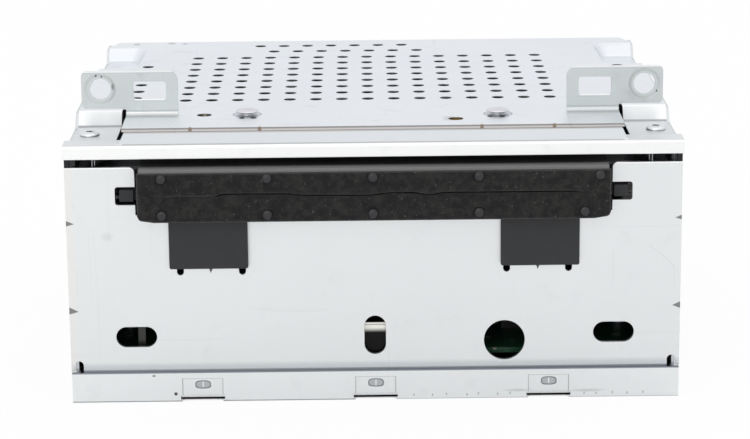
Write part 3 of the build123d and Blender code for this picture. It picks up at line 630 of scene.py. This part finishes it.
def roundPath(points, radius, steps=6):
    # a bent line with each inner corner turned into an arc
    path = [Vector(points[0])]
    for before, corner, after in zip(points, points[1:], points[2:]):
        before, corner, after = Vector(before), Vector(corner), Vector(after)
        back = (before - corner).normalized()
        ahead = (after - corner).normalized()
        half = back.angle(ahead) / 2
        reach = radius / math.tan(half)
        centre = corner + (back + ahead).normalized() * (radius / math.sin(half))
        start = corner + back * reach - centre
        end = corner + ahead * reach - centre
        for step in range(steps + 1):
            mixed = start.lerp(end, step / steps).normalized() * radius
            path.append(centre + mixed)
    path.append(Vector(points[-1]))
    return path


def offsetPath(path, distance):
    moved = []
    for index, point in enumerate(path):
        before = path[max(index - 1, 0)]
        after = path[min(index + 1, len(path) - 1)]
        along = (after - before).normalized()
        moved.append(point + Vector((-along.y, along.x)) * distance)
    return moved


def sweepSheet(work, path, thickness, x0, x1):
    # a folded sheet: the path is its upper face in Y and Z, and it runs along X
    ring = path + offsetPath(path, -thickness)[::-1]
    left = [work.verts.new((x0, p.x, p.y)) for p in ring]
    right = [work.verts.new((x1, p.x, p.y)) for p in ring]
    for index in range(len(ring)):
        after = (index + 1) % len(ring)
        work.faces.new((left[index], left[after], right[after], right[index]))
    for side in (left, right):
        for index in range(len(path) - 1):
            low = len(ring) - 1 - index
            work.faces.new((side[index], side[index + 1], side[low - 1], side[low]))


def turnedShape(name, profile, turns, direction=(0, 0, 1)):
    # profile is (radius, height) in mm from the foot to the tip, turned about the direction
    turn = Vector((0, 0, 1)).rotation_difference(Vector(direction)).to_matrix()
    angles = [2 * math.pi * n / turns for n in range(turns)]
    work = bmesh.new()
    rings = []
    for radius, height in profile:
        reach, rise = radius * mm, height * mm
        rings.append([work.verts.new(turn @ Vector((reach * math.cos(a), reach * math.sin(a), rise)))
                      for a in (angles if radius else [0.0])])
    for low, high in zip(rings, rings[1:]):
        for n in range(turns):
            after = (n + 1) % turns
            if len(low) == 1:
                work.faces.new((low[0], high[after], high[n]))
            elif len(high) == 1:
                work.faces.new((low[n], low[after], high[0]))
            else:
                work.faces.new((low[n], low[after], high[after], high[n]))
    return finishMesh(work, name)


# geometry node trees
class GeoTree:
    def __init__(self, name, inputs):
        self.tree = bpy.data.node_groups.new(name, "GeometryNodeTree")
        self.tree.is_modifier = True
        self.keys = {}
        self.tree.interface.new_socket("Geometry", in_out="INPUT", socket_type="NodeSocketGeometry")
        for label, kind in inputs:
            made = self.tree.interface.new_socket(label, in_out="INPUT", socket_type=kind)
            self.keys[label] = made.identifier
        self.tree.interface.new_socket("Geometry", in_out="OUTPUT", socket_type="NodeSocketGeometry")
        self.source = self.tree.nodes.new("NodeGroupInput")
        self.end = self.tree.nodes.new("NodeGroupOutput")

    def value(self, label):
        return self.source.outputs[label]

    def add(self, kind, settings=None, sockets=None):
        node = self.tree.nodes.new(kind)
        for key, value in (settings or {}).items():
            setattr(node, key, value)
        for key, value in (sockets or {}).items():
            for part in value if isinstance(value, list) else [value]:
                if isinstance(part, bpy.types.NodeSocket):
                    self.tree.links.new(part, node.inputs[key])
                else:
                    node.inputs[key].default_value = part
        return node.outputs

    def math(self, operation, first, second):
        return self.add("ShaderNodeMath", {"operation": operation}, {0: first, 1: second})[0]

    def vector(self, x=0.0, y=0.0, z=0.0):
        return self.add("ShaderNodeCombineXYZ", None, {"X": x, "Y": y, "Z": z})[0]

    def finish(self, geometry):
        realised = self.add("GeometryNodeRealizeInstances", None, {"Geometry": geometry})[0]
        painted = self.add("GeometryNodeSetMaterial", None,
                           {"Geometry": realised, "Material": self.value("Material")})[0]
        self.tree.links.new(painted, self.end.inputs[0])

    def applyTo(self, mesh, values):
        holder = placeObject("holder", mesh)
        modifier = holder.modifiers.new("build", "NODES")
        modifier.node_group = self.tree
        for label, value in values.items():
            modifier[self.keys[label]] = value
        return baked(holder)


# the perforated sheet: an outline and its single holes are filled together with rows of round vents
cover = {
    "top": 83.5, "thickness": 1.2, "side": 88.8, "front": 0.9, "back": 141.2, "rounding": 0.18, "sharp": 40,
    "stepTop": 29.2, "tongue": 58.18, "middle": 73.8, "notchBack": 20.3, "cornerY": 133.0, "cornerX": 86.0,
    "ventRadius": 1.88, "ventPoints": 20, "columns": 15, "rows": 8, "pitchX": 8.0, "pitchY": 9.98,
    "firstX": -1.3, "firstY": 40.65, "rearCount": 7, "rearRows": ((-32.4, 121.8), (-37.3, 131.9)),
    "single": [(-73.0, 96.2, 1.88), (-80.4, 88.5, 1.88), (-72.9, 65.7, 1.88), (-72.9, 55.1, 1.88),
               (-72.9, 44.9, 1.88), (80.4, 90.5, 1.88), (*brownHole, 2.25), (*goldHole, 2.25)],
    "singlePoints": 28, "dipY": 112.4, "dipHalf": 18.9, "dipIn": 75.3, "dipCorner": 4.5, "dipTaper": 9,
    "dipSteps": 8,
    "dipSlope": [(0, 83.5), (0.25, 83.46), (0.55, 83.25), (0.85, 82.9), (2.75, 79.75), (3.1, 79.4),
                 (3.6, 79.22), (4.1, 79.2)],
    "tabIn": 75.6, "tabBend": 1.1, "tabPath": [(4.6, 79.2), (23.6, 79.2), (27.2, 83.5), (29.2, 83.5)],
    "skirt": 1.0, "skirtFoot": 72, "skirts": [(30, 93, 82.3), (93, 131, 78.0), (131, 132, 82.3)],
}


def ventTree():
    geo = GeoTree("perforatedSheet", [
        ("Columns", "NodeSocketInt"), ("Rows", "NodeSocketInt"), ("Pitch X", "NodeSocketFloat"),
        ("Pitch Y", "NodeSocketFloat"), ("Middle X", "NodeSocketFloat"), ("First Y", "NodeSocketFloat"),
        ("Vent Radius", "NodeSocketFloat"), ("Vent Points", "NodeSocketInt"),
        ("Thickness", "NodeSocketFloat"), ("Underside", "NodeSocketFloat"),
        ("Rear Count", "NodeSocketInt"), ("Rear Start A", "NodeSocketVector"),
        ("Rear Start B", "NodeSocketVector"), ("Material", "NodeSocketMaterial"),
    ])
    sizeX = geo.math("MULTIPLY", geo.math("SUBTRACT", geo.value("Columns"), 1), geo.value("Pitch X"))
    sizeY = geo.math("MULTIPLY", geo.math("SUBTRACT", geo.value("Rows"), 1), geo.value("Pitch Y"))
    grid = geo.add("GeometryNodeMeshGrid", None, {
        "Size X": sizeX, "Vertices X": geo.value("Columns"),
        "Size Y": sizeY, "Vertices Y": geo.value("Rows")})
    middleY = geo.math("ADD", geo.value("First Y"), geo.math("MULTIPLY", sizeY, 0.5))
    placed = geo.add("GeometryNodeSetPosition", None, {
        "Geometry": grid[0], "Offset": geo.vector(geo.value("Middle X"), middleY)})
    step = geo.vector(geo.value("Pitch X"))
    points = [placed[0]]
    for label in ("Rear Start A", "Rear Start B"):
        points.append(geo.add("GeometryNodeMeshLine", None, {
            "Count": geo.value("Rear Count"), "Start Location": geo.value(label), "Offset": step})[0])
    circle = geo.add("GeometryNodeCurvePrimitiveCircle", None, {
        "Resolution": geo.value("Vent Points"), "Radius": geo.value("Vent Radius")})
    spots = geo.add("GeometryNodeJoinGeometry", None, {"Geometry": points})
    rims = geo.add("GeometryNodeInstanceOnPoints", None, {"Points": spots[0], "Instance": circle[0]})
    loose = geo.add("GeometryNodeRealizeInstances", None, {"Geometry": rims[0]})
    outline = geo.add("GeometryNodeMeshToCurve", None, {"Mesh": geo.value("Geometry")})
    lines = geo.add("GeometryNodeJoinGeometry", None, {"Geometry": [outline[0], loose[0]]})
    filled = geo.add("GeometryNodeFillCurve", {"mode": "NGONS"}, {"Curve": lines[0]})
    lifted = geo.add("GeometryNodeSetPosition", None, {
        "Geometry": filled[0], "Offset": geo.vector(0.0, 0.0, geo.value("Underside"))})
    upper = geo.add("GeometryNodeExtrudeMesh", None, {
        "Mesh": lifted[0], "Offset": geo.vector(0.0, 0.0, 1.0), "Offset Scale": geo.value("Thickness"),
        "Individual": False})
    under = geo.add("GeometryNodeFlipFaces", None, {"Mesh": lifted[0]})
    whole = geo.add("GeometryNodeJoinGeometry", None, {"Geometry": [upper[0], under[0]]})
    merged = geo.add("GeometryNodeMergeByDistance", None, {"Geometry": whole[0], "Distance": 2e-6})
    geo.finish(merged[0])
    return geo


def ringPoints(x, y, radius, count):
    angles = [2 * math.pi * n / count for n in range(count)]
    return [(x + radius * math.cos(a), y + radius * math.sin(a)) for a in angles]


def dipLine(inset):
    # the right dip from its front end at the side edge round to its rear end
    side, middle, half = cover["side"], cover["dipY"], cover["dipHalf"] - inset
    inner = cover["dipIn"] + inset
    steps = cover["dipSteps"]
    bend = cover["dipCorner"] * (1 - inset / cover["dipTaper"])
    line = [(side, middle - half)]
    for centreY, start in ((middle - half + bend, 270), (middle + half - bend, 180)):
        line += [(inner + bend + bend * math.cos(a), centreY + bend * math.sin(a))
                 for a in [math.radians(start - 90 * n / steps) for n in range(steps + 1)]]
    return line + [(side, middle + half)]


def coverOutline():
    side = cover["side"]
    right = [(cover["tongue"], cover["front"]), (cover["tongue"], cover["notchBack"]),
             (cover["middle"], cover["notchBack"]), (cover["middle"], cover["stepTop"]),
             (side, cover["stepTop"])]
    right += dipLine(0)
    right += [(side, cover["cornerY"]), (cover["cornerX"], cover["back"])]
    loops = [right + [(-x, y) for x, y in reversed(right)]]
    loops += [ringPoints(x, y, radius, cover["singlePoints"]) for x, y, radius in cover["single"]]
    work = bmesh.new()
    for loop in loops:
        verts = [work.verts.new((x * mm, y * mm, 0)) for x, y in loop]
        for n, vert in enumerate(verts):
            work.edges.new((vert, verts[(n + 1) % len(verts)]))
    mesh = bpy.data.meshes.new("coverOutline")
    work.to_mesh(mesh)
    work.free()
    return mesh


def addDip(work, sign, thick):
    # a rounded slope down to a flat floor, open to the side
    faces = work.faces.new
    rows = []
    for drop in (0.0, thick):
        rings = [[work.verts.new((sign * x * mm, y * mm, (z - drop) * mm)) for x, y in dipLine(inset)]
                 for inset, z in cover["dipSlope"]]
        rows.append(rings)
        for outer, inner in zip(rings, rings[1:]):
            for n in range(len(outer) - 1):
                faces((inner[n], inner[n + 1], outer[n + 1], outer[n]))
        faces(rings[-1])
    upper, lower = rows
    faces((upper[-1][0], upper[-1][-1], lower[-1][-1], lower[-1][0]))
    for n in range(len(upper[0]) - 1):
        faces((upper[0][n], upper[0][n + 1], lower[0][n + 1], lower[0][n]))
    for end in (0, -1):
        for k in range(len(upper) - 1):
            faces((upper[k][end], upper[k + 1][end], lower[k + 1][end], lower[k][end]))


def makeCover():
    top, thick, side = cover["top"], cover["thickness"], cover["side"]
    starts = [(x * mm, y * mm, 0) for x, y in cover["rearRows"]]
    flat = ventTree().applyTo(coverOutline(), {
        "Columns": cover["columns"], "Rows": cover["rows"], "Pitch X": cover["pitchX"] * mm,
        "Pitch Y": cover["pitchY"] * mm, "Middle X": cover["firstX"] * mm, "First Y": cover["firstY"] * mm,
        "Vent Radius": cover["ventRadius"] * mm, "Vent Points": cover["ventPoints"],
        "Thickness": thick * mm, "Underside": (top - thick) * mm, "Rear Count": cover["rearCount"],
        "Rear Start A": starts[0], "Rear Start B": starts[1], "Material": finishes["coverZinc"],
    })
    work = bmesh.new()
    work.from_mesh(flat)
    path = [p * mm for p in roundPath(cover["tabPath"], cover["tabBend"])]
    for low, high in ((cover["tabIn"], side), (-side, -cover["tabIn"])):
        sweepSheet(work, path, thick * mm, low * mm, high * mm)
    for sign in (-1, 1):
        low, high = sorted((sign * (side - cover["skirt"]), sign * side))
        addBlocks(work, [((low, y0, cover["skirtFoot"]), (high, y1, z)) for y0, y1, z in cover["skirts"]])
    for sign in (-1, 1):
        addDip(work, sign, thick)
    bmesh.ops.remove_doubles(work, verts=work.verts, dist=1e-6)
    mesh = roundEdges(finishMesh(work, "top_cover_skin"), cover["rounding"], cover["sharp"])
    piece = addPiece("top_cover_skin", mesh, "top_cover")
    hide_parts("top_cover")


makeCover()
print("cover made")
for node, width in edgeWidths.items():
    dressNode(node, width)
print("sheet pieces and bezel dressed")


# fasteners
def pointTree():
    # one shape repeated on every point of the mesh
    geo = GeoTree("repeatOnPoints", [("Shape", "NodeSocketObject"), ("Material", "NodeSocketMaterial")])
    shape = geo.add("GeometryNodeObjectInfo", None, {"Object": geo.value("Shape")})["Geometry"]
    points = geo.add("GeometryNodeMeshToPoints", None, {"Mesh": geo.value("Geometry")})
    copies = geo.add("GeometryNodeInstanceOnPoints", None, {"Points": points[0], "Instance": shape})
    geo.finish(copies[0])
    return geo


repeatOnPoints = pointTree()


def repeatPiece(name, shape, places, node):
    holder = placeObject(name + "Shape", shape)
    spots = bpy.data.meshes.new(name + "Spots")
    spots.from_pydata([tuple(c * mm for c in place) for place in places], [], [])
    mesh = repeatOnPoints.applyTo(spots, {"Shape": holder, "Material": finishes[finishOf[node]]})
    bpy.data.objects.remove(holder)
    piece = addPiece(name, mesh, node)
    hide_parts(node)


cornerScrew = {
    "places": [(-screwX, screwY, 79.2), (screwX, screwY, 79.2)],
    "head": [(0, -4.6), (1.25, -4.6), (1.25, 0), (2.9, 0), (2.9, 0.35), (2.75, 0.65), (2.35, 0.92),
             (1.7, 1.1), (0.9, 1.2), (0, 1.22)],
    "crossLength": 2.3, "crossWidth": 0.55, "crossDepth": 0.8, "crossTurn": 38, "turns": 36, "sharp": 35,
}


def screwShape():
    tip = cornerScrew["head"][-1][1]
    foot = tip - cornerScrew["crossDepth"]
    long, wide = cornerScrew["crossLength"] / 2, cornerScrew["crossWidth"] / 2
    head = turnedShape("screw", cornerScrew["head"], cornerScrew["turns"])
    cross = [((-x, -y, foot), (x, y, tip + 1)) for x, y in ((long, wide), (wide, long))]
    shape = smooth(cutOut(head, cross, crossing=True), cornerScrew["sharp"])
    shape.transform(Matrix.Rotation(math.radians(cornerScrew["crossTurn"]), 4, "Z"))
    return shape


repeatPiece("corner_screws_skin", screwShape(), cornerScrew["places"], "corner_screws")

studLook = {
    "places": [(x, y, cover["top"]) for x, y in studPlaces], "turns": 40, "sharp": 50,
    "profile": [(0, -1.2), (1.6, -1.2), (1.6, 0.55), (2.6, 0.62), (3.3, 0.85), (3.45, 1.05), (3.35, 1.25),
                (2.9, 1.45), (2.2, 1.58), (1.7, 1.62), (1.5, 1.55), (1.2, 1.58), (0.6, 1.69), (0, 1.7)],
}
stud = smooth(turnedShape("stud", studLook["profile"], studLook["turns"]), studLook["sharp"])
repeatPiece("locating_studs_skin", stud, studLook["places"], "locating_studs")

pinLook = {
    "face": -7.6, "x": [-62.1, -31.2, -0.3, 30.7], "turns": 28, "sharp": 60,
    "rows": {69.95: 66.0, 59.1: 61.65},  # height of each row and the x of its last pin
    "profile": [(0, -5.0), (0.8, -5.0), (0.8, -0.05), (1.42, -0.05), (1.5, 0.08), (1.44, 0.28), (1.25, 0.5),
                (0.95, 0.66), (0.55, 0.76), (0, 0.8)],
}
pinPlaces = [(x, pinLook["face"], z) for z, last in pinLook["rows"].items() for x in pinLook["x"] + [last]]
pin = smooth(turnedShape("pin", pinLook["profile"], pinLook["turns"], (0, -1, 0)), pinLook["sharp"])
repeatPiece("felt_pins_skin", pin, pinPlaces, "felt_pins")
print("fasteners made")

# the felt: a stiff pad with a soft rim, dimples round the pins and the wavy slit
felt = {
    "half": 69.35, "low": 56.75, "high": 71.35, "front": -7.6, "back": -5.8,
    "cornerX": 64.5, "rise": 0.75, "bend": 1.3, "cell": 0.45, "rows": 17, "sharp": 65,
    "slit": [(-61, 64.45), (-46.4, 64.4), (-44.2, 65.15), (-24.6, 65.05), (-21.5, 64.6), (-1.2, 64.35),
             (4, 65.0), (12, 65.0), (16.3, 64.2), (20, 64.95), (51.4, 64.92), (61, 64.92)],
    "slitEnd": 60, "slitHalf": 60.8, "slitWidth": 0.6, "slitTaper": 2.0, "closedX": -46, "closedShare": 0.3,
    "rim": 0.55, "dimpleReach": 3.4, "dimple": 0.22, "slitReach": 1.1, "slitDip": 0.55,
    "fuzz": 0.10, "fuzzScale": 0.9, "fineFuzz": 0.05, "fineScale": 4.1,
}


def slitLine(x):
    for (x0, z0), (x1, z1) in zip(felt["slit"], felt["slit"][1:]):
        if x <= x1:
            return z0 + (z1 - z0) * max(0.0, (x - x0) / (x1 - x0))
    return felt["slit"][-1][1]


def feltLow(x):
    # lower edge of the felt: it rises a little toward each side and ends in a small arc
    low = felt["low"] + felt["rise"] * max(0.0, abs(x) - felt["cornerX"]) / (felt["half"] - felt["cornerX"])
    inside = felt["half"] - abs(x)
    bend = felt["bend"]
    if inside < bend:
        low += bend - math.sqrt(max(0.0, bend ** 2 - (bend - inside) ** 2))
    return low


def feltDepth(x, z):
    # how far the face stands behind its highest level, in mm
    rim = felt["rim"]
    edge = min(felt["half"] - abs(x), z - feltLow(x), felt["high"] - z)
    depth = 0.0
    if edge < rim:
        depth += rim - math.sqrt(max(rim ** 2 - (rim - max(edge, 0)) ** 2, 0))
    for px, _, pz in pinPlaces:
        far = math.hypot(x - px, z - pz)
        if far < felt["dimpleReach"]:
            depth += felt["dimple"] * (1 - far / felt["dimpleReach"]) ** 2
    if abs(x) < felt["slitHalf"] + 0.5:
        gap = abs(z - slitLine(x))
        if gap < felt["slitReach"]:
            depth += felt["slitDip"] * (1 - gap / felt["slitReach"]) ** 2
    spot = Vector((x * felt["fuzzScale"], 0, z * felt["fuzzScale"]))
    depth += felt["fuzz"] * (0.5 + 0.5 * noise.noise(spot))
    return depth + felt["fineFuzz"] * noise.noise(spot * felt["fineScale"])


def feltLevels(x, part):
    # z levels of the face from bottom to top: part 0 lies below the slit and part 1 above it
    end, rows = felt["slitEnd"], felt["rows"]
    middle = slitLine(max(-end, min(end, x)))
    taper = max(0.0, min(1.0, (felt["slitHalf"] - abs(x)) / felt["slitTaper"]))
    gap = felt["slitWidth"] / 2 * taper * (felt["closedShare"] if x < felt["closedX"] else 1)
    if part == 0:
        return [feltLow(x) + (middle - gap - feltLow(x)) * n / rows for n in range(rows + 1)]
    return [middle + gap + (felt["high"] - middle - gap) * n / rows for n in range(rows + 1)]


def makeFelt():
    rows = felt["rows"]
    columns = int(2 * felt["half"] / felt["cell"])
    xs = [-felt["half"] + 2 * felt["half"] * n / columns for n in range(columns + 1)]
    work = bmesh.new()
    for part in (0, 1):
        front, back = [], []
        for x in xs:
            levels = feltLevels(x, part)
            face = [(x * mm, (felt["front"] + feltDepth(x, z)) * mm, z * mm) for z in levels]
            front.append([work.verts.new(place) for place in face])
            back.append([work.verts.new((x * mm, felt["back"] * mm, z * mm)) for z in levels])
        for a in range(columns):
            for b in range(rows):
                work.faces.new((front[a][b], front[a + 1][b], front[a + 1][b + 1], front[a][b + 1]))
                work.faces.new((back[a][b], back[a][b + 1], back[a + 1][b + 1], back[a + 1][b]))
            for b in (0, rows):
                work.faces.new((front[a][b], back[a][b], back[a + 1][b], front[a + 1][b]))
        for a in (0, columns):
            for b in range(rows):
                work.faces.new((front[a][b], front[a][b + 1], back[a][b + 1], back[a][b]))
    bmesh.ops.remove_doubles(work, verts=work.verts, dist=1e-7)
    piece = addPiece("felt_pad_skin", smooth(finishMesh(work, "felt_pad_skin"), felt["sharp"]), "felt_pad")
    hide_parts("felt_pad")


makeFelt()
print("felt made")

# stage: each lamp has its place, its target, its size, its power and its colour
stageLook = {
    "floorSize": 6.0, "floorColour": (0.86, 0.86, 0.865), "floorGlow": 0.93, "worldLight": 1.0,
    "sky": [(0.0, (0.90, 0.93, 0.95)), (0.8, (1.0, 1.0, 1.0))],
    "lamps": {
        "softTop": ((0.15, -0.1, 1.3), (0, 0.05, 0.05), (1.4, 1.2), 1.5, (1, 1, 1)),
        "softFront": ((-0.5, -1.3, 0.7), (0, 0, 0.05), (1.0, 0.8), 4.0, (1.0, 0.99, 0.97)),
    },
}


def makeFloor():
    half = stageLook["floorSize"] / 2
    mesh = bpy.data.meshes.new("floor")
    corners = [(-half, -half, 0), (half, -half, 0), (half, half, 0), (-half, half, 0)]
    mesh.from_pydata(corners, [], [(0, 1, 2, 3)])
    floor = placeObject("floor", mesh)
    made = Finish("paleFloor")
    made.set(colour=stageLook["floorColour"], rough=0.9)
    rays = made.add("ShaderNodeLightPath", pick="Is Camera Ray")
    glow = made.add("ShaderNodeEmission", None, {"Color": (1, 1, 1), "Strength": 1.0})
    lit = Wire(made, made.surface.outputs[0])
    made.show(made.add("ShaderNodeMixShader", None, {0: rays * stageLook["floorGlow"], 1: lit, 2: glow}))
    mesh.materials.append(finishes["paleFloor"])


def makeWorld():
    # the camera sees white, and the pieces see a sky that is a little darker below
    world = bpy.data.worlds.new("studio")
    bpy.context.scene.world = world
    sky = ShaderTree(world, "ShaderNodeOutputWorld")
    here = sky.add("ShaderNodeTexCoord", pick="Generated")
    height = sky.add("ShaderNodeSeparateXYZ", None, {0: here}, pick="Z")
    ramp = sky.add("ShaderNodeValToRGB", None, {0: height})
    for element, (place, colour) in zip(ramp.socket.node.color_ramp.elements, stageLook["sky"]):
        element.position = place
        element.color = (*colour, 1)
    soft = sky.add("ShaderNodeBackground", None, {0: ramp, 1: stageLook["worldLight"]})
    seen = sky.add("ShaderNodeBackground", None, {0: (1, 1, 1)})
    rays = sky.add("ShaderNodeLightPath", pick="Is Camera Ray")
    sky.show(sky.add("ShaderNodeMixShader", None, {0: rays, 1: soft, 2: seen}))


def addLamp(name, place, target, size, power, colour):
    lamp = bpy.data.lights.new(name, "AREA")
    lamp.shape = "RECTANGLE"
    lamp.size, lamp.size_y = size
    lamp.energy = power
    lamp.color = colour
    piece = placeObject(name, lamp)
    piece.location = place
    piece.rotation_euler = (Vector(target) - Vector(place)).to_track_quat("-Z", "Y").to_euler()


makeFloor()
makeWorld()
for name, look in stageLook["lamps"].items():
    addLamp(name, *look)

# the camera, solved from the vent rows and the case edges
cameraLook = {
    "place": (-0.004666, -0.750082, 0.244849), "turn": (75.8193, 0.5403, -0.5135), "lens": 125.72,
    "sensor": 36.0, "clip": (0.01, 20),
}
camera = bpy.data.cameras.new("camera")
camera.sensor_width = cameraLook["sensor"]
camera.lens = cameraLook["lens"]
camera.clip_start, camera.clip_end = cameraLook["clip"]
cameraPiece = placeObject("camera", camera)
cameraPiece.location = cameraLook["place"]
cameraPiece.rotation_euler = Euler([math.radians(a) for a in cameraLook["turn"]], "XYZ")
bpy.context.scene.camera = cameraPiece
bpy.context.scene.view_settings.view_transform = "Standard"

bpy.context.view_layer.update()
